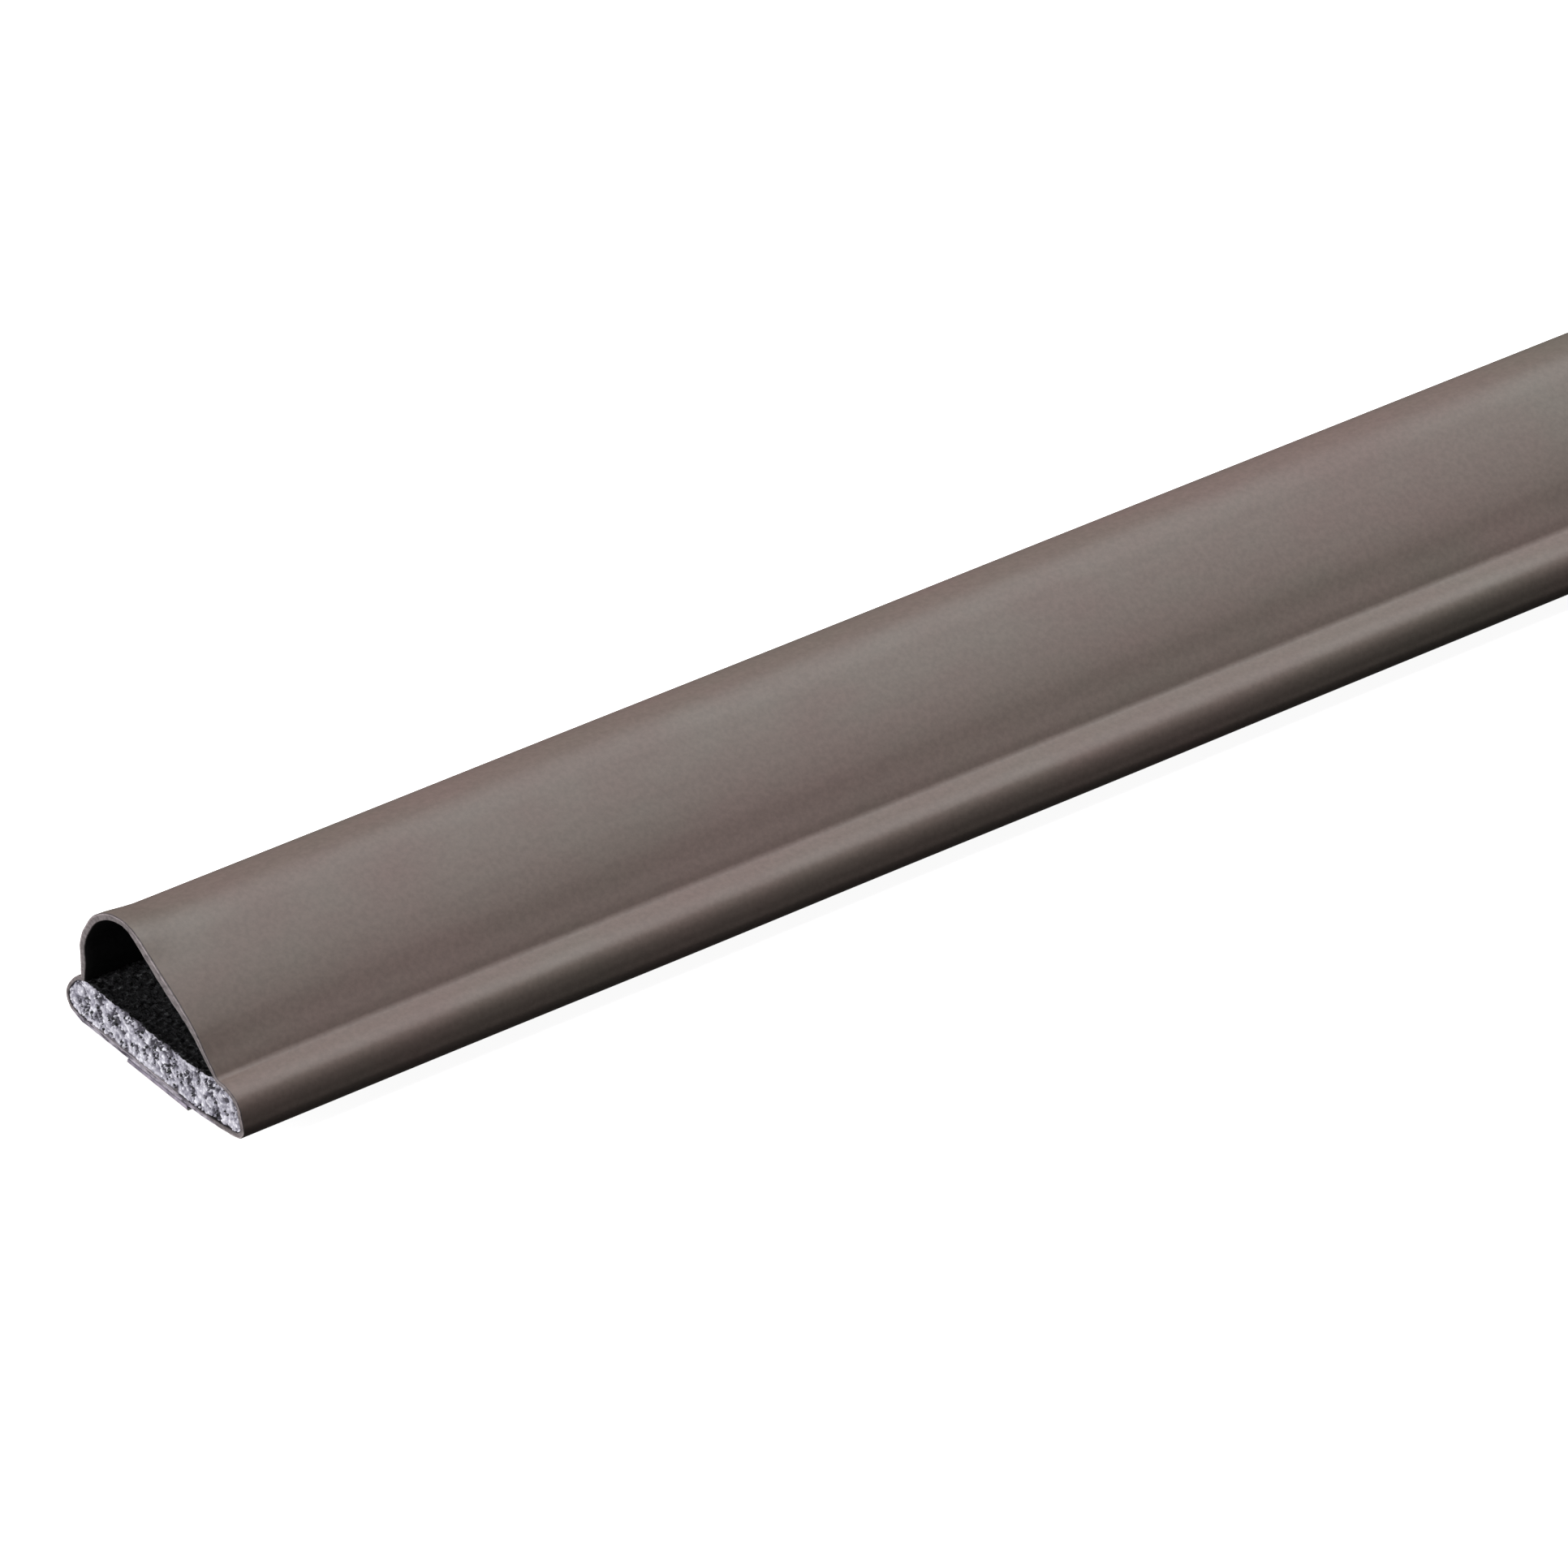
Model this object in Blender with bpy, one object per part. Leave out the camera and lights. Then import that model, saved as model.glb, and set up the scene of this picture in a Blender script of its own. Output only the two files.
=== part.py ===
"""Peel-and-stick door sweep: an extruded vinyl cover around a foam slab, with mounting tape underneath.

Frame: X runs along the strip, the rounded nose faces -Y, the upright back wall faces +Y, +Z is up, and the
origin is the middle of the underside. Dimensions are in millimetres and are turned into metres as solids are made.
"""
import math

import bmesh
import bpy
from mathutils import Vector
from mathutils.geometry import interpolate_bezier

MM = 0.001

# Overall size.
LENGTH = 914.4            # a stock 36 in strip
WIDTH = 38.1              # nose to heel, 1.5 in
NOSE_Y = -WIDTH / 2
HEEL_Y = WIDTH / 2

# Heights and places on the cover's outer face.
UNDERSIDE = 0.60          # the cover's floor stands this high on its tape and liner
CREST_Y = 6.20
CREST_HEIGHT = 19.70
WAIST_Y = 15.70           # the back wall's foot, just above the foam
WAIST_HEIGHT = 7.10
FLEX_Y = -13.30           # the flex line at the foot of the slope
FLEX_HEIGHT = 8.07

# Wall thickness of the cover, as (share of the way round, thickness) stations that are eased between.
BULB_WALL = [(0.0, 1.10), (0.25, 1.00), (0.44, 0.80), (0.60, 1.35), (0.70, 1.40), (0.87, 1.05), (1.0, 0.60)]
BASE_WALL = [(0.0, 0.55), (0.08, 0.62), (0.15, 0.75), (0.24, 0.70), (0.38, 0.65), (0.82, 0.65), (0.90, 0.50),
             (1.0, 0.50)]
FLOOR_WALL = 0.65

# The foam slab.
FOAM_TOP = 6.74
FOAM_GAP = 0.30           # clearance between the foam and the cover

# Films and tape, from the floor down.
BOND_WIDTH = 19.0
BOND_Y = 4.5
BOND_THICKNESS = 0.10
TAPE_WIDTH = 12.7         # 1/2 in mounting tape
TAPE_Y = -0.30
TAPE_THICKNESS = 0.38
LINER_WIDTH = 13.2        # stands a little past both edges of the tape
LINER_THICKNESS = 0.10
FILM_GAP = 0.06           # clearance above and below the tape

# The bulb turns about the middle of the wall at the flex line.
HINGE = (-12.85, 7.90)

# The bulb is made as panels, each between two points of the bulb's outer face.
BULB_PANELS = {"cover_back_wall": (0, 3), "cover_crest": (3, 6), "cover_slope": (6, 13)}
PANEL_GAP = 0.30

STEPS = 4                 # points along each span of a smooth curve
SHARP_ANGLE = math.radians(40)


def tangent(points, i):
    """Direction of a smooth curve at its i-th point."""
    return (points[min(i + 1, len(points) - 1)] - points[max(i - 1, 0)]).normalized()


def smooth(points):
    """A smooth curve through points, as a list of vectors."""
    curve = [points[0]]
    for i, (start, end) in enumerate(zip(points, points[1:])):
        reach = (end - start).length / 3
        leave = start + tangent(points, i) * reach
        arrive = end - tangent(points, i + 1) * reach
        curve += interpolate_bezier(start, leave, arrive, end, STEPS + 1)[1:]
    return curve


def shares(curve):
    """How far round the curve each of its points lies, from 0 to 1."""
    along = [0.0]
    for start, end in zip(curve, curve[1:]):
        along.append(along[-1] + (end - start).length)
    return [s / along[-1] for s in along]


def thickness(stations, share):
    """Wall thickness at a share of the way round."""
    for (low, start), (high, end) in zip(stations, stations[1:]):
        if share <= high:
            t = (share - low) / (high - low)
            return start + (end - start) * t * t * (3 - 2 * t)
    return stations[-1][1]


def inner(curve, stations, clearance=0.0):
    """The wall's inner face, on the curve's left-hand side, moved further in by a clearance."""
    face = []
    for i, share in enumerate(shares(curve)):
        along = tangent(curve, i)
        left = Vector((-along.y, along.x))
        face.append(curve[i] + left * (thickness(stations, share) + clearance))
    return face


def outline(*pairs):
    """Points of an outline from (y, z) pairs."""
    return [Vector(pair) for pair in pairs]


def bulb_face():
    """Outer face of the bulb: up the back wall, over the crest and down the slope to the flex line."""
    return smooth(outline(
        (WAIST_Y, WAIST_HEIGHT),
        (15.78, 10.0),
        (15.76, 12.2),
        (14.8, 14.6),
        (12.4, 17.25),
        (9.4, 19.05),
        (CREST_Y, CREST_HEIGHT),
        (3.6, 19.25),
        (0.2, 17.75),
        (-5.0, 14.95),
        (-8.6, 12.45),
        (-11.0, 10.02),
        (-12.2, 8.78),
        (FLEX_Y + 0.45, FLEX_HEIGHT + 0.17),
    ))


def base_face():
    """Outer face of the base: from the flex line round the nose, along the floor and up round the heel."""
    nose = smooth(outline(
        (FLEX_Y, FLEX_HEIGHT),
        (-14.6, 8.07),
        (-15.8, 8.06),
        (-16.7, 7.86),
        (-17.4, 7.40),
        (-18.15, 6.45),
        (-18.8, 5.1),
        (NOSE_Y, 4.1),
        (-18.7, 2.8),
        (-17.5, 1.86),
        (-14.6, 1.30),
        (-10.8, 0.88),
        (-6.8, UNDERSIDE),
    ))
    heel = smooth(outline(
        (15.6, UNDERSIDE),
        (17.1, 0.92),
        (18.4, 1.6),
        (HEEL_Y, 2.9),
        (18.75, 4.2),
        (17.6, 5.85),
        (WAIST_Y + 0.55, WAIST_HEIGHT - 0.05),
    ))
    return nose + heel


def wall(face, stations):
    """Closed outline of a wall, from its outer face."""
    return face + inner(face, stations)[::-1]


def drawn_in(points, distance):
    """An open run of points with both its ends moved in."""
    first = points[0] + (points[1] - points[0]).normalized() * distance
    last = points[-1] + (points[-2] - points[-1]).normalized() * distance
    return [first, *points[1:-1], last]


def panel(face, stations, start, end):
    """Closed outline of the wall between two of its face's points, held back from its neighbours."""
    run = slice(start * STEPS, end * STEPS + 1)
    outer = drawn_in(face[run], PANEL_GAP / 2)
    return outer + drawn_in(inner(face, stations)[run], PANEL_GAP / 2)[::-1]


def foam():
    """Closed outline of the foam slab: it fills the base, and its top swells up to the foot of the slope."""
    sides = inner(base_face(), BASE_WALL, FOAM_GAP)
    top = smooth([sides[-1], *outline((15.0, FOAM_TOP), (8.0, FOAM_TOP), (-6.0, FOAM_TOP + 0.05),
                                      (-9.4, 7.0), (-11.3, 7.33)), sides[0]])
    return sides + top[1:-1]


def strip(width, middle, bottom, height):
    """Closed outline of a flat film or tape."""
    low, high = middle - width / 2, middle + width / 2
    return outline((low, bottom), (high, bottom), (high, bottom + height), (low, bottom + height))


def finish(name, color, roughness):
    """A plain material."""
    made = bpy.data.materials.new(name)
    made.use_nodes = True
    shader = made.node_tree.nodes["Principled BSDF"]
    shader.inputs["Base Color"].default_value = (*color, 1.0)
    shader.inputs["Roughness"].default_value = roughness
    shader.inputs["Metallic"].default_value = 0.0
    return made


def extrude(name, closed, material, pivot=(0.0, 0.0)):
    """A solid along the whole strip from a closed outline, with its origin at a (y, z) pivot."""
    bm = bmesh.new()
    corners = [bm.verts.new((-LENGTH / 2, p.x - pivot[0], p.y - pivot[1])) for p in closed]
    end = bm.faces.new(corners)
    grown = bmesh.ops.extrude_face_region(bm, geom=[end], use_keep_orig=True)
    far = [v for v in grown["geom"] if isinstance(v, bmesh.types.BMVert)]
    bmesh.ops.translate(bm, verts=far, vec=(LENGTH, 0, 0))
    bmesh.ops.scale(bm, verts=bm.verts, vec=(MM, MM, MM))
    bmesh.ops.recalc_face_normals(bm, faces=bm.faces)
    mesh = bpy.data.meshes.new(name)
    bm.to_mesh(mesh)
    bm.free()
    mesh.shade_smooth()
    mesh.set_sharp_from_angle(angle=SHARP_ANGLE)
    mesh.materials.append(material)
    piece = bpy.data.objects.new(name, mesh)
    piece.location = (0, pivot[0] * MM, pivot[1] * MM)
    bpy.context.scene.collection.objects.link(piece)
    return piece


def build():
    for old in list(bpy.data.objects):
        bpy.data.objects.remove(old, do_unlink=True)

    vinyl = finish("taupe_vinyl", (0.205, 0.178, 0.155), 0.42)
    open_cell = finish("grey_foam", (0.42, 0.41, 0.43), 0.95)
    clear_film = finish("bond_film", (0.55, 0.50, 0.52), 0.35)
    tape = finish("mounting_tape", (0.62, 0.58, 0.60), 0.55)
    paper = finish("release_paper", (0.72, 0.70, 0.68), 0.50)

    # The cover is one extrusion: the base is the half that is stuck down, and the bulb's panels flex over it.
    extrude("cover_base", wall(base_face(), BASE_WALL), vinyl)
    for name, (start, end) in BULB_PANELS.items():
        extrude(name, panel(bulb_face(), BULB_WALL, start, end), vinyl, HINGE)

    extrude("foam_core", foam(), open_cell)

    bond_bottom = UNDERSIDE + FLOOR_WALL + (FOAM_GAP - BOND_THICKNESS) / 2
    extrude("foam_bond_film", strip(BOND_WIDTH, BOND_Y, bond_bottom, BOND_THICKNESS), clear_film)

    tape_bottom = UNDERSIDE - FILM_GAP - TAPE_THICKNESS
    extrude("adhesive_strip", strip(TAPE_WIDTH, TAPE_Y, tape_bottom, TAPE_THICKNESS), tape)
    extrude("release_liner", strip(LINER_WIDTH, TAPE_Y, 0.0, LINER_THICKNESS), paper)


build()
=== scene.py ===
import math

import bmesh
import bpy
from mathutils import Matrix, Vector, noise
from mathutils.geometry import interpolate_bezier
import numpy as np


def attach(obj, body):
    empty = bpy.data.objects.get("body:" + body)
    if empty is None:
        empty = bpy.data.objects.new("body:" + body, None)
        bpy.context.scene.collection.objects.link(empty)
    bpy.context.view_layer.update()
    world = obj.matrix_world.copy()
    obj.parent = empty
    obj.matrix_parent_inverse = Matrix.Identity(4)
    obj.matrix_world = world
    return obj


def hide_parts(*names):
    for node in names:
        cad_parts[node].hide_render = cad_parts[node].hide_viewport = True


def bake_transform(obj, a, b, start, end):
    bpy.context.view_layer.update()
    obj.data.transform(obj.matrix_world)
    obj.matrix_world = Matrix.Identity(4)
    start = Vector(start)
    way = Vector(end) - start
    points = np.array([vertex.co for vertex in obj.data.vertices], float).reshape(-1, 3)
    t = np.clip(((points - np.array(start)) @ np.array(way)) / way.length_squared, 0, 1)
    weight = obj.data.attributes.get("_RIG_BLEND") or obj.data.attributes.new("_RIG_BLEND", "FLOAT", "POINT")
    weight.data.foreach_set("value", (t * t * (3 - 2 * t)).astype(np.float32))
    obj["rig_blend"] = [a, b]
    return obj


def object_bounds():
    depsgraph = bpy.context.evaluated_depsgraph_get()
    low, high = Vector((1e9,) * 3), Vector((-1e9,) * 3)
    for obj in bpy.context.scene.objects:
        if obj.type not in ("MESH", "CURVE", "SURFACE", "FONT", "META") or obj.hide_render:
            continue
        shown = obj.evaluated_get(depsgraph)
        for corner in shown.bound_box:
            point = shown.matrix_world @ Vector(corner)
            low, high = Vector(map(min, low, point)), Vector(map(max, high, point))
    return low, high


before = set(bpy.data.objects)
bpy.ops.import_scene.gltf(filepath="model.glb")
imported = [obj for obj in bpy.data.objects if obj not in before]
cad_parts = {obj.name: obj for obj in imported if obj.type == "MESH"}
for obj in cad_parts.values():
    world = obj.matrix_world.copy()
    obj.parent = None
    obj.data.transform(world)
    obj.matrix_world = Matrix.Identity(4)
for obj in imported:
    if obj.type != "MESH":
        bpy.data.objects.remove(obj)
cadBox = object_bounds()
mm = 0.001
nearEnd = cadBox[0].x / mm   # the strip runs from here to farEnd, in millimetres
farEnd = cadBox[1].x / mm
print("frame loaded:", ", ".join(sorted(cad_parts)))


# Curves and cross-sections, in millimetres as (y, z).

def tangentAt(points, i):
    return (points[min(i + 1, len(points) - 1)] - points[max(i - 1, 0)]).normalized()


def smoothRun(anchors, steps):
    points = [Vector(a) for a in anchors]
    run = [points[0]]
    for i, (start, end) in enumerate(zip(points, points[1:])):
        reach = (end - start).length / 3
        leave = start + tangentAt(points, i) * reach
        arrive = end - tangentAt(points, i + 1) * reach
        run += interpolate_bezier(start, leave, arrive, end, steps + 1)[1:]
    return run


def sharesOf(run):
    along = [0.0]
    for start, end in zip(run, run[1:]):
        along.append(along[-1] + (end - start).length)
    return [s / along[-1] for s in along]


def ease(t):
    t = min(max(t, 0.0), 1.0)
    return t * t * (3 - 2 * t)


def rising(value, low, high):
    # 0 below low, 1 above high, soft between; low above high makes it fall
    return ease((value - low) / (high - low))


def eased(stations, share):
    for (low, start), (high, end) in zip(stations, stations[1:]):
        if share <= high:
            return start + (end - start) * rising(share, low, high)
    return stations[-1][1]


def loopInside(loop, depths):
    # the closed loop again, each point moved in by its own depth
    inside = []
    for i, point in enumerate(loop):
        along = (loop[(i + 1) % len(loop)] - loop[i - 1]).normalized()
        inside.append(point + Vector((-along.y, along.x)) * depths[i])
    return inside


# Mesh helpers.

def startLoop(bm, loop, x):
    # a closed loop of edges; each vertex remembers its place on the loop
    spot = bm.verts.layers.int.get("spot") or bm.verts.layers.int.new("spot")
    verts = [bm.verts.new((x, p.x, p.y)) for p in loop]
    for i, v in enumerate(verts):
        v[spot] = i
    return [bm.edges.new((a, b)) for a, b in zip(verts, verts[1:] + verts[:1])]


def extrudeTo(bm, ring, loop, x, finish=0):
    # extrudes a ring of edges and puts it on another loop, further along or further in
    spot = bm.verts.layers.int["spot"]
    grown = bmesh.ops.extrude_edge_only(bm, edges=ring)["geom"]
    verts = {g for g in grown if isinstance(g, bmesh.types.BMVert)}
    for v in verts:
        v.co = (x, loop[v[spot]].x, loop[v[spot]].y)
    for g in grown:
        if isinstance(g, bmesh.types.BMFace):
            g.material_index = finish
    return [g for g in grown if isinstance(g, bmesh.types.BMEdge) and set(g.verts) <= verts]


def endStations(steps, spacing):
    # close together at both ends of the strip, spacing apart between them
    near = [nearEnd + s for s in steps]
    far = [farEnd - s for s in reversed(steps)]
    count = round((far[0] - near[-1]) / spacing)
    return near + [near[-1] + (far[0] - near[-1]) * i / count for i in range(1, count)] + far


def fromEnd(x):
    return min(x - nearEnd, farEnd - x)


def makePiece(name, bm, materials, sharp=40):
    bmesh.ops.scale(bm, verts=bm.verts, vec=(mm, mm, mm))
    bmesh.ops.recalc_face_normals(bm, faces=bm.faces)
    mesh = bpy.data.meshes.new(name)
    bm.to_mesh(mesh)
    bm.free()
    mesh.shade_smooth()
    mesh.set_sharp_from_angle(angle=math.radians(sharp))
    for material in materials:
        mesh.materials.append(material)
    piece = bpy.data.objects.new(name, mesh)
    bpy.context.scene.collection.objects.link(piece)
    print(f"{name}: {len(mesh.vertices)} vertices, {len(mesh.polygons)} faces")
    return piece


# Material helpers.

def newMaterial(name):
    material = bpy.data.materials.new(name)
    material.use_nodes = True
    tree = material.node_tree
    return material, tree, tree.nodes["Principled BSDF"]


def addNode(tree, kind, place, **settings):
    node = tree.nodes.new(kind)
    node.location = (place[0] * 200 - 1200, -place[1] * 260)
    for key, value in settings.items():
        setattr(node, key, value)
    return node


def noiseAt(tree, source, place, scale, detail=3.0, rough=0.5, stretch=(1, 1, 1)):
    mapping = addNode(tree, "ShaderNodeMapping", place)
    mapping.inputs["Scale"].default_value = stretch
    tree.links.new(source, mapping.inputs["Vector"])
    texture = addNode(tree, "ShaderNodeTexNoise", (place[0] + 1, place[1]))
    texture.inputs["Scale"].default_value = scale
    texture.inputs["Detail"].default_value = detail
    texture.inputs["Roughness"].default_value = rough
    tree.links.new(mapping.outputs["Vector"], texture.inputs["Vector"])
    return texture.outputs["Fac"]


def rampAt(tree, fac, place, stops):
    ramp = addNode(tree, "ShaderNodeValToRGB", place)
    spots = ramp.color_ramp.elements
    while len(spots) < len(stops):
        spots.new(0.5)
    for spot, (position, color) in zip(spots, stops):
        spot.position = position
        spot.color = (*color, 1.0)
    tree.links.new(fac, ramp.inputs["Fac"])
    return ramp.outputs["Color"]


def mixColor(tree, place, mode, fac, a, b):
    mix = addNode(tree, "ShaderNodeMix", place, data_type="RGBA", blend_type=mode)
    if isinstance(fac, float):
        mix.inputs["Factor"].default_value = fac
    else:
        tree.links.new(fac, mix.inputs["Factor"])
    tree.links.new(a, mix.inputs["A"])
    tree.links.new(b, mix.inputs["B"])
    return mix.outputs["Result"]


def rangeTo(tree, value, place, low, high, fromLow=0.3, fromHigh=0.7):
    node = addNode(tree, "ShaderNodeMapRange", place)
    for name, number in (("From Min", fromLow), ("From Max", fromHigh), ("To Min", low), ("To Max", high)):
        node.inputs[name].default_value = number
    tree.links.new(value, node.inputs["Value"])
    return node.outputs["Result"]


def bumpFrom(tree, height, place, distance, strength=1.0, under=None):
    bump = addNode(tree, "ShaderNodeBump", place)
    bump.inputs["Distance"].default_value = distance
    bump.inputs["Strength"].default_value = strength
    tree.links.new(height, bump.inputs["Height"])
    if under:
        tree.links.new(under, bump.inputs["Normal"])
    return bump.outputs["Normal"]


# Camera.
camera = {
    "place": (-1.25306, -1.20198, 0.98151),
    "azimuth": -36.5,
    "elevation": 33.1,
    "lens": 334.06,
}


def setCamera():
    data = bpy.data.cameras.new("camera")
    data.sensor_width = 36
    data.lens = camera["lens"]
    data.clip_start = 0.05
    data.clip_end = 100
    taken = bpy.data.objects.new("camera", data)
    taken.location = camera["place"]
    taken.rotation_euler = (math.radians(90 - camera["elevation"]), 0, math.radians(camera["azimuth"]))
    bpy.context.scene.collection.objects.link(taken)
    bpy.context.scene.camera = taken


setCamera()
print("camera set")


# The cover's vinyl: outside, cut ends, and the inside, painted near-black as shade.
vinyl = {
    "warm": (0.224, 0.166, 0.150),
    "cool": (0.196, 0.167, 0.143),
    "cutDark": (0.120, 0.102, 0.103),
    "cutLight": (0.230, 0.200, 0.203),
    "lilac": (0.330, 0.300, 0.350),
    # painted shade: the inside of the skin is given a near-black colour
    "inside": (0.018, 0.016, 0.017),
    "roughness": (0.46, 0.56),
    "shine": 0.24,
    "grain": 0.000012,
}


def vinylOutside():
    material, tree, shader = newMaterial("taupeVinyl")
    at = addNode(tree, "ShaderNodeTexCoord", (0, 1)).outputs["Object"]
    mottle = noiseAt(tree, at, (1, 0), 55, 3, 0.55, (0.5, 1, 1))
    speck = noiseAt(tree, at, (1, 1), 1400, 3, 0.6)
    drawn = noiseAt(tree, at, (1, 2), 420, 2, 0.5, (0.02, 1, 1))  # faint lines left by the die
    grain = noiseAt(tree, at, (1, 3), 2600, 4, 0.65)
    tint = rampAt(tree, mottle, (3, 0), [(0.35, vinyl["cool"]), (0.65, vinyl["warm"])])
    shade = rampAt(tree, speck, (3, 1), [(0.35, (0.89, 0.89, 0.89)), (0.65, (1.03, 1.03, 1.03))])
    lines = rampAt(tree, drawn, (3, 2), [(0.3, (0.965, 0.965, 0.965)), (0.7, (1.0, 1.0, 1.0))])
    color = mixColor(tree, (4, 0), "MULTIPLY", 1.0, tint, shade)
    color = mixColor(tree, (5, 0), "MULTIPLY", 1.0, color, lines)
    tree.links.new(color, shader.inputs["Base Color"])
    tree.links.new(rangeTo(tree, mottle, (4, 2), *vinyl["roughness"]), shader.inputs["Roughness"])
    shader.inputs["Specular IOR Level"].default_value = vinyl["shine"]
    under = bumpFrom(tree, drawn, (4, 3), vinyl["grain"] * 1.5)
    tree.links.new(bumpFrom(tree, grain, (5, 3), vinyl["grain"], 1.0, under), shader.inputs["Normal"])
    return material


def vinylCut():
    material, tree, shader = newMaterial("cutVinyl")
    at = addNode(tree, "ShaderNodeTexCoord", (0, 1)).outputs["Object"]
    streak = noiseAt(tree, at, (1, 0), 900, 3, 0.6, (1, 1, 2.2))  # dragged by the blade
    pits = noiseAt(tree, at, (1, 1), 3600, 3, 0.6)
    color = rampAt(tree, streak, (3, 0), [(0.32, vinyl["cutDark"]), (0.62, vinyl["cutLight"])])
    across = addNode(tree, "ShaderNodeAttribute", (1, 3), attribute_name="across").outputs["Fac"]
    # painted highlight and painted shade: a bright line just inside the cut's outer edge, and darker lines
    # along both edges of the cut face
    cutEdgeLightAndShade = rampAt(tree, across, (3, 3), [(0.0, (0.45, 0.43, 0.44)), (0.06, (0.8, 0.8, 0.8)),
                                         (0.14, (2.1, 2.05, 2.05)), (0.34, (1.0, 1.0, 1.0)),
                                         (0.90, (0.95, 0.95, 0.95)), (1.0, (0.5, 0.5, 0.5))])
    color = mixColor(tree, (4, 3), "MULTIPLY", 1.0, color, cutEdgeLightAndShade)
    # the floor of the skin is paler and mauve, smeared with glue
    level = addNode(tree, "ShaderNodeSeparateXYZ", (1, 4))
    tree.links.new(at, level.inputs["Vector"])
    smear = noiseAt(tree, at, (1, 5), 500, 4, 0.65, (1, 1, 3.0))
    glued = rampAt(tree, smear, (3, 5), [(0.42, (0.06, 0.05, 0.07)), (0.52, vinyl["lilac"]),
                                         (0.66, (0.50, 0.46, 0.52))])
    low = rangeTo(tree, level.outputs["Z"], (3, 4), 1.0, 0.0, 0.0010, 0.0016)
    color = mixColor(tree, (5, 4), "MIX", low, color, glued)
    fleck = rampAt(tree, pits, (3, 1), [(0.3, (0.72, 0.72, 0.74)), (0.6, (1.0, 1.0, 1.0))])
    tree.links.new(mixColor(tree, (4, 0), "MULTIPLY", 1.0, color, fleck), shader.inputs["Base Color"])
    shader.inputs["Roughness"].default_value = 0.6
    under = bumpFrom(tree, streak, (4, 2), 0.00008)
    tree.links.new(bumpFrom(tree, pits, (5, 2), 0.00004, 1.0, under), shader.inputs["Normal"])
    return material


def vinylInside():
    material, tree, shader = newMaterial("insideVinylPaintedShade")
    at = addNode(tree, "ShaderNodeTexCoord", (0, 1)).outputs["Object"]
    dust = noiseAt(tree, at, (1, 0), 1500, 4, 0.7)
    # painted shade: the taupe vinyl is near-black inside the cover, where little light reaches; the specks
    # on it vary at random
    insidePaintedShade = rampAt(tree, dust, (3, 0), [(0.4, vinyl["inside"]), (0.8, (0.035, 0.032, 0.034))])
    tree.links.new(insidePaintedShade, shader.inputs["Base Color"])
    tree.links.new(bumpFrom(tree, dust, (4, 1), 0.00003), shader.inputs["Normal"])
    shader.inputs["Roughness"].default_value = 0.75
    return material


# The cover: one extruded vinyl skin, closed round the foam and the air above it.
cover = {
    "bulb": [(15.72, 7.18), (15.78, 10.0), (15.76, 12.2), (14.8, 14.6), (12.4, 17.25), (9.4, 19.05),
             (6.2, 19.70), (3.6, 19.25), (0.2, 17.75), (-4.8, 15.00), (-8.5, 12.50), (-11.0, 10.26),
             (-12.2, 9.16), (-12.92, 8.38)],
    "nose": [(-13.42, 8.06), (-14.1, 7.92), (-15.3, 7.68), (-16.2, 7.38), (-16.95, 6.94), (-17.5, 6.3),
             (-17.92, 5.4), (-18.2, 4.5), (-18.42, 3.6), (-18.35, 2.75), (-17.45, 1.85), (-14.6, 1.30),
             (-10.8, 0.88), (-6.8, 0.60)],
    "heel": [(15.6, 0.60), (17.1, 0.92), (18.4, 1.6), (19.05, 2.9), (18.75, 4.2), (17.6, 5.85),
             (16.4, 6.95), (16.0, 7.13)],
    "bulbWall": [(0.0, 0.80), (0.05, 1.10), (0.25, 1.00), (0.44, 0.80), (0.58, 1.42), (0.70, 1.52),
                 (0.86, 1.08), (1.0, 0.60)],
    "baseWall": [(0.0, 0.55), (0.08, 0.62), (0.15, 0.75), (0.24, 0.70), (0.38, 0.65), (0.82, 0.65),
                 (0.90, 0.50), (0.97, 0.50), (1.0, 0.65)],
    "steps": 6,           # points between two anchors
    "floorSteps": 16,
    "flare": 0.46,        # how far the blade leaves the cut crest pushed up
    "flareOut": 0.2,      # and the share of it that goes towards the back
    "flareReach": 6.0,
    "crestArea": ((-1.0, 4.0), (15.4, 12.6), (13.6, 16.6)),    # where it comes in: front, back and height
    "pinch": 0.3,         # how far the foot of the slope sinks towards the cut
    "pinchReach": 9.0,
    "footArea": ((-14.5, -12.5), (-8.5, -11.5), (6.0, 7.5)),   # front, back and height again
    # the cut face from the outer edge to the inner: share of the wall, and how far in from the end
    "cutPath": [(0.0, 0.16), (0.03, 0.06), (0.10, 0.0), (0.30, 0.03), (0.55, 0.07), (0.80, 0.02),
                (0.93, 0.0), (0.98, 0.05), (1.0, 0.14)],
    "sway": 0.16,         # slow waviness along the strip
    "swayLength": (46.0, 30.0, 30.0),
    "swayRise": 0.45,     # the share of it that the bulb takes, rising and falling
    "bulbArea": (0.7, 4.7),
    "noseArea": (-9.0, -17.0),
    "saw": 0.05,          # unevenness of the cut
    "sawGrain": 1.1,
    "outsideSteps": [0.16, 0.3, 0.7, 1.3, 2.0, 2.9, 4.0, 5.4, 7.2, 9.5, 12.5],
    "outsideSpacing": 4.2,
    "insideSteps": [0.0, 1.3, 2.9, 5.4, 9.5, 16.0],
    "insideSpacing": 30,
    "doubles": 0.004,     # points nearer than this are one
}


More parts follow.
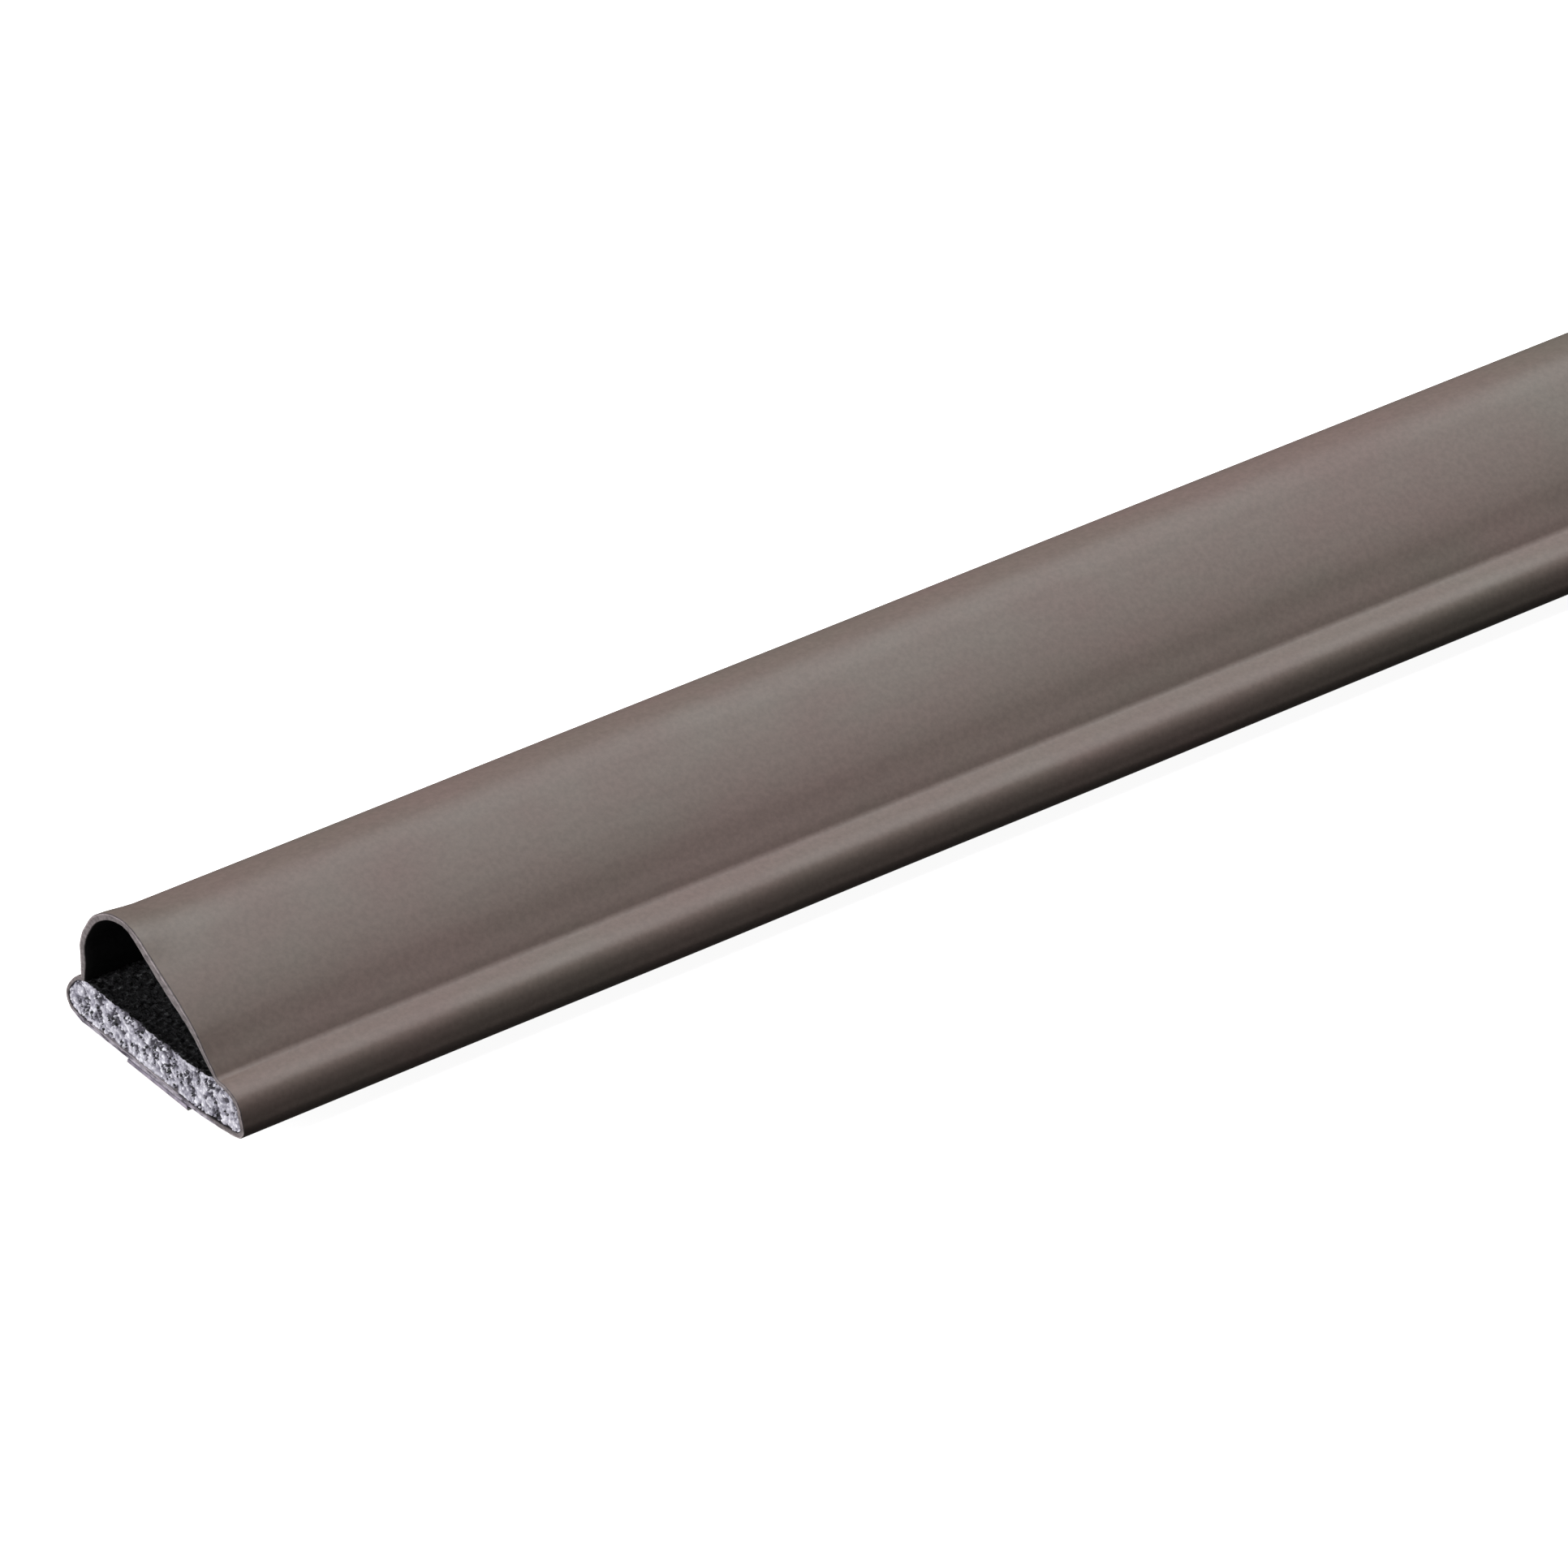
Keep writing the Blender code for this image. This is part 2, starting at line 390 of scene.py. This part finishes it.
def coverSection():
    bulbRun = smoothRun(cover["bulb"], cover["steps"])
    noseRun = smoothRun(cover["nose"], cover["steps"])
    heelRun = smoothRun(cover["heel"], cover["steps"])
    floorRun = [noseRun[-1].lerp(heelRun[0], t / cover["floorSteps"]) for t in range(1, cover["floorSteps"])]
    baseRun = noseRun + floorRun + heelRun
    bulbDepths = [eased(cover["bulbWall"], s) for s in sharesOf(bulbRun)]
    baseDepths = [eased(cover["baseWall"], s) for s in sharesOf(baseRun)]
    outer = bulbRun + baseRun
    return outer, loopInside(outer, bulbDepths + baseDepths)


def flareCut(verts):
    # the crest stands up and out at the cut; it settles within a few millimetres
    front, back, height = cover["crestArea"]
    for v in verts:
        pull = rising(fromEnd(v.co.x), cover["flareReach"], 0)
        crest = rising(v.co.y, *front) * rising(v.co.y, *back) * rising(v.co.z, *height)
        v.co.y += cover["flareOut"] * cover["flare"] * crest * pull
        v.co.z += cover["flare"] * crest * pull


def pinchFlex(verts):
    # the open end lets the foot of the slope settle onto the foam
    front, back, height = cover["footArea"]
    for v in verts:
        pull = rising(fromEnd(v.co.x), cover["pinchReach"], 0)
        foot = rising(v.co.y, *front) * rising(v.co.y, *back) * rising(v.co.z, *height)
        v.co.z -= cover["pinch"] * foot * pull


def swayAlong(verts):
    # soft vinyl is never quite straight: the bulb rises and falls a little, and the nose swings in and out
    for v in verts:
        spot = Vector([c / length for c, length in zip(v.co, cover["swayLength"])])
        bulb = cover["swayRise"] * rising(v.co.z, *cover["bulbArea"])
        nose = rising(v.co.y, *cover["noseArea"])
        v.co.z += cover["sway"] * bulb * noise.noise(spot)
        v.co.y += cover["sway"] * nose * noise.noise(spot + Vector((0, 7.3, 2.1)))


def markShare(bm, ring, share):
    # how far a ring on the cut face lies across the wall; the cut's material paints its edge highlight and
    # edge shade by it
    across = bm.verts.layers.float["across"]
    for edge in ring:
        for v in edge.verts:
            v[across] = share


def makeCover():
    outer, inside = coverSection()
    cutRings = [(share, nearEnd + sunk, [a.lerp(b, share) for a, b in zip(outer, inside)])
                for share, sunk in cover["cutPath"]]
    outsideX = endStations(cover["outsideSteps"], cover["outsideSpacing"])
    insideX = endStations(cover["insideSteps"], cover["insideSpacing"])
    bm = bmesh.new()
    bm.verts.layers.float.new("across")
    ring = startLoop(bm, outer, cutRings[0][1])
    for share, x, loop in cutRings[1:]:  # over the near cut
        ring = extrudeTo(bm, ring, loop, x, 1)
        markShare(bm, ring, share)
    for x in insideX[1:-1]:  # through the inside
        ring = extrudeTo(bm, ring, inside, x, 2)
    for i, (share, x, loop) in enumerate(reversed(cutRings)):  # over the far cut, the near one mirrored
        ring = extrudeTo(bm, ring, loop, -x, 1 if i else 2)
        markShare(bm, ring, share)
    for x in outsideX[-2::-1]:  # and back along the outside
        ring = extrudeTo(bm, ring, outer, x, 0)
    bmesh.ops.remove_doubles(bm, verts=bm.verts, dist=cover["doubles"])
    flareCut(bm.verts)
    pinchFlex(bm.verts)
    roughenCut(bm)
    swayAlong(bm.verts)
    return bm


def roughenCut(bm):
    # the saw leaves the cut faces a little uneven
    cut = {v for f in bm.faces if f.material_index == 1 for v in f.verts}
    for v in cut:
        inward = 1 if v.co.x < 0 else -1
        rough = noise.noise(Vector((v.co.x, v.co.y * cover["sawGrain"], v.co.z * cover["sawGrain"])))
        v.co.x += inward * cover["saw"] * (0.5 + rough)


coverPiece = makePiece("cover", makeCover(), [vinylOutside(), vinylCut(), vinylInside()])
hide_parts("cover_base", "cover_slope", "cover_crest", "cover_back_wall")
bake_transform(coverPiece, "base", "bulb", start=(0, 0, 0.0068), end=(0, 0, 0.0160))


# Films under and inside the cover.
films = {
    "bond": {"edges": (-4.9, 13.9), "levels": (1.26, 1.37), "wander": 0.5, "radius": 0.04, "spacing": 5},
    "tape": {"edges": (-6.65, 6.05), "levels": (0.11, 0.59), "wander": 0.10, "radius": 0.20, "spacing": 5},
    "liner": {"edges": (-6.80, 6.20), "levels": (0.0, 0.10), "wander": 0.03, "radius": 0.04, "spacing": 8},
    "steps": [0.0, 0.5, 1.5, 4.0],
    "waveLength": 9.0,    # of the edges, which wander a little
}


# The foam slab: cut open at both ends and fluffy on top; its outside is painted dark as shade.
foam = {
    "top": [(15.62, 6.62), (14.6, 6.78), (8.0, 6.74), (0.0, 6.74), (-6.0, 6.80), (-9.4, 7.0),
            (-11.2, 7.30), (-12.1, 7.60)],
    "gap": 0.04,          # between the foam and the cover
    "overFilm": 1.39,     # the slab's underside where the bond film lies
    "besideFilm": 0.3,    # and how far it stays there past the film's edges
    "columns": 300,
    "rows": 44,
    "crowding": 0.25,     # of the columns towards the nose and the heel
    "margin": 0.02,
    "recess": 0.10,       # the cut face sits this far inside the cover's cut
    "crumb": 0.55,        # size of the foam's crumbs and cells
    "crumbWarp": (0.9, 0.45),
    "smallCells": 2.1,    # how much finer than the crumbs
    "patches": 0.42,      # and how much coarser, where the foam lies more open
    "crumbEdges": (0.26, 0.68),
    "smallEdges": (0.25, 0.70),
    "patchEdges": (-0.28, 0.34),
    "crumbDepth": 0.78,
    "smallDepth": 0.34,
    "patchDepth": (0.36, 0.78),
    "depth": 0.48,        # of the deepest cell
    "fluff": 0.22,        # lumps on the top
    "fluffGrain": (1.6, 3.7),
    "airSide": {"above": 6.2, "front": -12.0, "back": 15.2, "deeper": 0.9},
    "sideSteps": [0.5] * 24 + [1.0] * 14 + [2.0] * 6,
    "skinRun": 0.3,       # a face that runs further along the strip than this is the slab's outside
    "cutDepth": 0.2,      # which begins this far behind the cut face
    "bright": (0.84, 0.83, 0.88),
    "mid": (0.40, 0.39, 0.45),
    # painted shade at the bottom of the deepest cells
    "dark": (0.045, 0.040, 0.056),
}


def foamChains():
    # the slab's lower and upper outline, both from the nose to the heel
    inside = coverSection()[1]
    baseStart = len(smoothRun(cover["bulb"], cover["steps"]))
    # round the base only, clear of the cover's two waists
    sides = loopInside(inside, [foam["gap"]] * len(inside))[baseStart + 1:-2]
    loop = sides + smoothRun(foam["top"], cover["steps"])
    nose = min(range(len(loop)), key=lambda i: loop[i].x)
    heel = max(range(len(loop)), key=lambda i: loop[i].x)
    low, high = films["bond"]["edges"]
    near, far = low - foam["besideFilm"], high + foam["besideFilm"]
    lower = [Vector((p.x, max(p.y, foam["overFilm"]) if near < p.x < far else p.y))
             for p in loop[nose:heel + 1]]
    upper = (loop[heel:] + loop[:nose + 1])[::-1]
    return lower, upper


def heightOn(chain, y):
    for a, b in zip(chain, chain[1:]):
        if a.x <= y <= b.x and b.x > a.x:
            return a.y + (b.y - a.y) * (y - a.x) / (b.x - a.x)
    return chain[-1].y if y > chain[-1].x else chain[0].y


def poreAt(y, z, seed):
    # 0 on the crown of a crumb, 1 at the bottom of an open cell
    spot = Vector((y, z, seed)) / foam["crumb"]
    grain, reach = foam["crumbWarp"]
    spot += noise.noise_vector(spot * grain) * reach
    crumb = rising(noise.voronoi(spot)[0][0], *foam["crumbEdges"])
    small = rising(noise.voronoi(spot * foam["smallCells"])[0][0], *foam["smallEdges"])
    opened = rising(noise.noise(spot * foam["patches"] + Vector((3.1, 9.2, 4.4))), *foam["patchEdges"])
    closedDepth, openDepth = foam["patchDepth"]
    cell = foam["crumbDepth"] * crumb + foam["smallDepth"] * small
    return min(1.0, cell * (closedDepth + openDepth * opened))


def pushRing(bm, ring, shift):
    grown = bmesh.ops.extrude_edge_only(bm, edges=ring)["geom"]
    verts = {g for g in grown if isinstance(g, bmesh.types.BMVert)}
    bmesh.ops.translate(bm, verts=list(verts), vec=(shift, 0, 0))
    return [g for g in grown if isinstance(g, bmesh.types.BMEdge) and set(g.verts) <= verts]


def foamEnd(bm, x, inward, lower, upper):
    pore = bm.verts.layers.float["pore"]
    grid = bmesh.ops.create_grid(bm, x_segments=foam["columns"], y_segments=foam["rows"], size=1.0)["verts"]
    low, high = lower[0].x + foam["margin"], lower[-1].x - foam["margin"]
    for v in grid:
        u, w = (v.co.x + 1) / 2, (v.co.y + 1) / 2
        crowded = 0.5 - 0.5 * math.cos(math.pi * u)
        y = low + (high - low) * ((1 - foam["crowding"]) * u + foam["crowding"] * crowded)
        z = heightOn(lower, y) + (heightOn(upper, y) - heightOn(lower, y)) * w
        v[pore] = poreAt(y, z, x * 0.37)  # another pattern at each end
        v.co = (x + inward * (foam["recess"] + foam["depth"] * v[pore]), y, z)
    rim = list({e for v in grid for e in v.link_edges if e.is_boundary})
    for step in foam["sideSteps"]:
        rim = pushRing(bm, rim, inward * step)
    return rim


def fluffTop(bm):
    # the air side of the slab is lumpy; it is only seen near the open ends
    area = foam["airSide"]
    coarse, fine = foam["fluffGrain"]
    for v in bm.verts:
        onTop = v.co.z > area["above"] and area["front"] < v.co.y < area["back"]
        if onTop and fromEnd(v.co.x) > area["deeper"]:
            spot = Vector((v.co.x, v.co.y, 0.0))
            v.co.z += foam["fluff"] * (noise.noise(spot * coarse) + 0.6 * noise.noise(spot * fine) - 0.3)


def makeFoam():
    lower, upper = foamChains()
    bm = bmesh.new()
    bm.verts.layers.float.new("pore")
    nearRim = foamEnd(bm, nearEnd, 1, lower, upper)
    farRim = foamEnd(bm, farEnd, -1, lower, upper)
    bmesh.ops.bridge_loops(bm, edges=nearRim + farRim)
    # the slab's outside takes the second material, painted dark as shade
    for f in bm.faces:
        reach = [abs(v.co.x) for v in f.verts]
        behindCut = fromEnd(f.calc_center_median().x) > foam["recess"] + foam["cutDepth"]
        if max(reach) - min(reach) > foam["skinRun"] and behindCut:
            f.material_index = 1
    fluffTop(bm)
    return bm


def foamCut():
    material, tree, shader = newMaterial("cutFoam")
    at = addNode(tree, "ShaderNodeTexCoord", (0, 1)).outputs["Object"]
    pore = addNode(tree, "ShaderNodeAttribute", (0, 0), attribute_name="pore").outputs["Fac"]
    # painted shade: the cut foam darkens with the pore's depth, near black at the bottom of the deepest
    # cells
    cells = rampAt(tree, pore, (2, 0), [(0.05, foam["bright"]), (0.38, foam["mid"]), (0.80, foam["dark"])])
    # random flecks over the cut foam; where they lift it above its own colour they are painted glints
    sparkle = noiseAt(tree, at, (1, 1), 1500, 3, 0.6)
    flecksAndGlints = rampAt(tree, sparkle, (3, 1), [(0.36, (0.42, 0.41, 0.46)), (0.50, (0.82, 0.81, 0.84)),
                                            (0.62, (1.15, 1.15, 1.15))])
    tree.links.new(mixColor(tree, (4, 0), "MULTIPLY", 1.0, cells, flecksAndGlints), shader.inputs["Base Color"])
    tree.links.new(bumpFrom(tree, sparkle, (4, 2), 0.00010), shader.inputs["Normal"])
    shader.inputs["Roughness"].default_value = 0.7
    return material


def foamTop():
    material, tree, shader = newMaterial("foamSkinPaintedShade")
    at = addNode(tree, "ShaderNodeTexCoord", (0, 1)).outputs["Object"]
    skinSpeckle = noiseAt(tree, at, (1, 0), 1500, 4, 0.7)
    # painted shade: the slab's top, sides and underside are near-black with faint grey specks, while the
    # same foam's cut ends are pale
    color = rampAt(tree, skinSpeckle, (3, 0), [(0.46, (0.006, 0.006, 0.007)), (0.58, (0.05, 0.05, 0.055)),
                                        (0.70, (0.24, 0.25, 0.25))])
    tree.links.new(color, shader.inputs["Base Color"])
    tree.links.new(bumpFrom(tree, skinSpeckle, (4, 1), 0.0003), shader.inputs["Normal"])
    shader.inputs["Roughness"].default_value = 0.95
    return material


foamPiece = makePiece("foam_slab", makeFoam(), [foamCut(), foamTop()], sharp=75)
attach(foamPiece, "base")
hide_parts("foam_core")


def makeFilm(sizes):
    low, high = sizes["edges"]
    floor, top = sizes["levels"]
    bm = bmesh.new()
    corners = [Vector((low, floor)), Vector((high, floor)), Vector((high, top)), Vector((low, top))]
    first = ring = startLoop(bm, corners, nearEnd)
    for x in endStations(films["steps"], sizes["spacing"])[1:]:
        ring = extrudeTo(bm, ring, corners, x)
    for end in (first, ring):
        bmesh.ops.edgeloop_fill(bm, edges=end)
    long = [e for e in bm.edges if abs(e.verts[0].co.x - e.verts[1].co.x) > 0.01]
    bmesh.ops.bevel(bm, geom=long, offset=sizes["radius"], segments=3, profile=0.5,
                    affect="EDGES", material=-1)
    for v in bm.verts:
        side = 1 if v.co.y > (low + high) / 2 else -1
        spot = Vector((v.co.x / films["waveLength"], side * 3.0, 0.5))
        v.co.y += side * sizes["wander"] * (noise.noise(spot) - 0.3)
    return bm


def filmMaterial(name, light, shade, roughness, scale):
    material, tree, shader = newMaterial(name)
    at = addNode(tree, "ShaderNodeTexCoord", (0, 1)).outputs["Object"]
    cloud = noiseAt(tree, at, (1, 0), scale, 4, 0.65)
    fibre = noiseAt(tree, at, (1, 1), scale * 6, 3, 0.6, (0.3, 1, 1))
    color = rampAt(tree, cloud, (3, 0), [(0.3, shade), (0.65, light)])
    tree.links.new(color, shader.inputs["Base Color"])
    gloss = rangeTo(tree, cloud, (3, 1), roughness - 0.08, roughness + 0.08)
    tree.links.new(gloss, shader.inputs["Roughness"])
    tree.links.new(bumpFrom(tree, fibre, (4, 2), 0.00003), shader.inputs["Normal"])
    return material


bond = makePiece("bond_film", makeFilm(films["bond"]),
                 [filmMaterial("clearBond", (0.50, 0.46, 0.48), (0.34, 0.31, 0.34), 0.35, 300)])
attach(bond, "base")
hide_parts("foam_bond_film")

tape = makePiece("mounting_tape", makeFilm(films["tape"]),
                 [filmMaterial("mountingTape", (0.42, 0.37, 0.45), (0.10, 0.09, 0.12), 0.5, 620)])
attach(tape, "base")
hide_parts("adhesive_strip")

liner = makePiece("release_paper", makeFilm(films["liner"]),
                  [filmMaterial("releasePaper", (0.62, 0.59, 0.58), (0.52, 0.49, 0.49), 0.45, 500)])
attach(liner, "liner")
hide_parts("release_liner")


# Studio: a pale floor, a broad light above and behind, and a softer one on the cut end's side.
studio = {
    "floor": (0.88, 0.88, 0.88),
    "glow": 0.93,
    "top": {"place": (0.6, 0.24, 2.0), "aim": (-0.2, 0.0, 0.0), "size": 0.9, "power": 47.0},
    "side": {"place": (-2.3, 0.2, 0.30), "aim": (-0.45, 0.0, 0.01), "size": 0.7, "power": 42.0},
    "ambient": 0.03,      # light from the room above, and from the table below
    "bounce": 0.07,
    "horizon": (-0.3, 0.3),
    "backdrop": 0.98,     # what the camera sees behind everything
}


def areaLight(name, place, aim, size, power):
    data = bpy.data.lights.new(name, "AREA")
    data.shape = "SQUARE"
    data.size = size
    data.energy = power
    lamp = bpy.data.objects.new(name, data)
    lamp.location = place
    lamp.rotation_euler = (Vector(aim) - Vector(place)).to_track_quat("-Z", "Y").to_euler()
    lamp.visible_camera = False
    bpy.context.scene.collection.objects.link(lamp)


def makeFloor():
    bm = bmesh.new()
    bmesh.ops.create_grid(bm, x_segments=1, y_segments=1, size=40.0)
    mesh = bpy.data.meshes.new("floor")
    bm.to_mesh(mesh)
    bm.free()
    material, tree, shader = newMaterial("paleFloor")
    shader.inputs["Base Color"].default_value = (*studio["floor"], 1.0)
    shader.inputs["Roughness"].default_value = 0.9
    shader.inputs["Specular IOR Level"].default_value = 0.0
    shader.inputs["Emission Color"].default_value = (1, 1, 1, 1)
    shader.inputs["Emission Strength"].default_value = studio["glow"]
    mesh.materials.append(material)
    floor = bpy.data.objects.new("floor", mesh)
    floor.visible_diffuse = False   # keeps its bounce off the underside of the nose
    floor.visible_glossy = False
    bpy.context.scene.collection.objects.link(floor)


def setWorld():
    world = bpy.data.worlds.new("studio")
    world.use_nodes = True
    tree = world.node_tree
    back = tree.nodes["Background"]
    seen = addNode(tree, "ShaderNodeLightPath", (0, 0)).outputs["Is Camera Ray"]
    way = addNode(tree, "ShaderNodeTexCoord", (0, 2)).outputs["Generated"]
    split = addNode(tree, "ShaderNodeSeparateXYZ", (1, 2))
    tree.links.new(way, split.inputs["Vector"])
    sky = rangeTo(tree, split.outputs["Z"], (2, 2), studio["bounce"], studio["ambient"], *studio["horizon"])
    strength = addNode(tree, "ShaderNodeMix", (3, 1), data_type="FLOAT")
    tree.links.new(seen, strength.inputs["Factor"])
    tree.links.new(sky, strength.inputs["A"])
    strength.inputs["B"].default_value = studio["backdrop"]
    back.inputs["Color"].default_value = (1, 1, 1, 1)
    tree.links.new(strength.outputs["Result"], back.inputs["Strength"])
    bpy.context.scene.world = world


makeFloor()
setWorld()
for name in ("top", "side"):
    areaLight(name, **studio[name])
bpy.context.scene.view_settings.view_transform = "Standard"
print("studio set")
